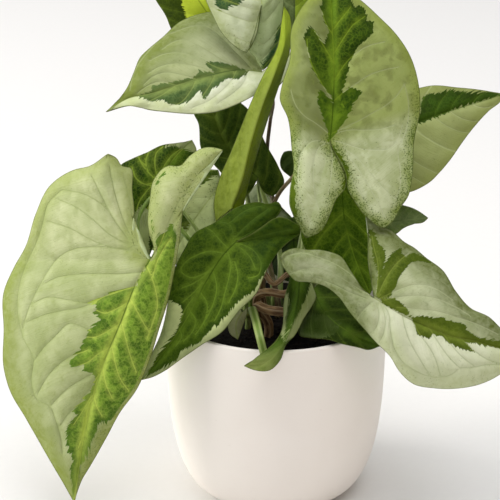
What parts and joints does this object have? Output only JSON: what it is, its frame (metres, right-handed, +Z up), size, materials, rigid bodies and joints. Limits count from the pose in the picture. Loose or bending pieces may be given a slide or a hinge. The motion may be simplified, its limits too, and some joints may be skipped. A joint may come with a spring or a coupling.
{
  "type": "arrowhead plant in a pot",
  "caption": "Potted arrowhead plant with variegated arrow-shaped leaves on thin stalks, in a plain white pot with rounded walls.",
  "frame": {"origin": "centre of the pot's foot, on the surface that the pot stands on", "axes": "+Z up, the foot faces -Z; -Y towards the viewer of the picture, +X to the viewer's right"},
  "size_m": [0.2512, 0.1511, 0.2816],
  "materials": {
    "pot": "matte",
    "soil": "matte",
    "leaf_cream": "satin",
    "leaf_grey_green": "satin",
    "leaf_green": "satin",
    "leaf_lime": "satin",
    "leaf_dark": "satin",
    "stalk": "satin",
    "sheath": "satin",
    "root": "matte"
  },
  "bodies": {
    "root": {"aerial_root_high": "root", "aerial_root_low": "root", "aerial_root_middle": "root", "leaf_back_dark": "leaf_dark", "leaf_back_left": "leaf_green", "leaf_back_low": "leaf_green", "leaf_back_right": "leaf_grey_green", "leaf_behind_crown": "leaf_dark", "leaf_front_left": "leaf_cream", "leaf_front_middle": "leaf_green", "leaf_front_right": "leaf_cream", "leaf_hanging_green": "leaf_green", "leaf_left_grey": "leaf_grey_green", "leaf_left_small": "leaf_dark", "leaf_low_left": "leaf_cream", "leaf_on_rim": "leaf_dark", "leaf_over_rim": "leaf_green", "leaf_right": "leaf_grey_green", "leaf_small_back": "leaf_dark", "leaf_small_right": "leaf_grey_green", "leaf_top_back": "leaf_lime", "leaf_top_centre": "leaf_cream", "leaf_top_left": "leaf_lime", "leaf_upper_left": "leaf_cream", "leaf_upright": "leaf_cream", "leaf_young_rolled": "leaf_lime", "pot": "pot", "sheath_strap": "sheath", "soil": "soil", "stalk_back_dark": "stalk", "stalk_back_left": "stalk", "stalk_back_low": "stalk", "stalk_back_right": "stalk", "stalk_behind_crown": "stalk", "stalk_front_left": "stalk", "stalk_front_middle": "stalk", "stalk_front_right": "stalk", "stalk_hanging_green": "stalk", "stalk_left_grey": "stalk", "stalk_left_small": "stalk", "stalk_low_left": "stalk", "stalk_on_rim": "stalk", "stalk_over_rim": "stalk", "stalk_right": "stalk", "stalk_small_back": "stalk", "stalk_small_right": "stalk", "stalk_top_back": "stalk", "stalk_top_centre": "stalk", "stalk_top_left": "stalk", "stalk_upper_left": "stalk", "stalk_upright": "stalk", "stalk_young_rolled": "stalk"}
  },
  "joints": []
}
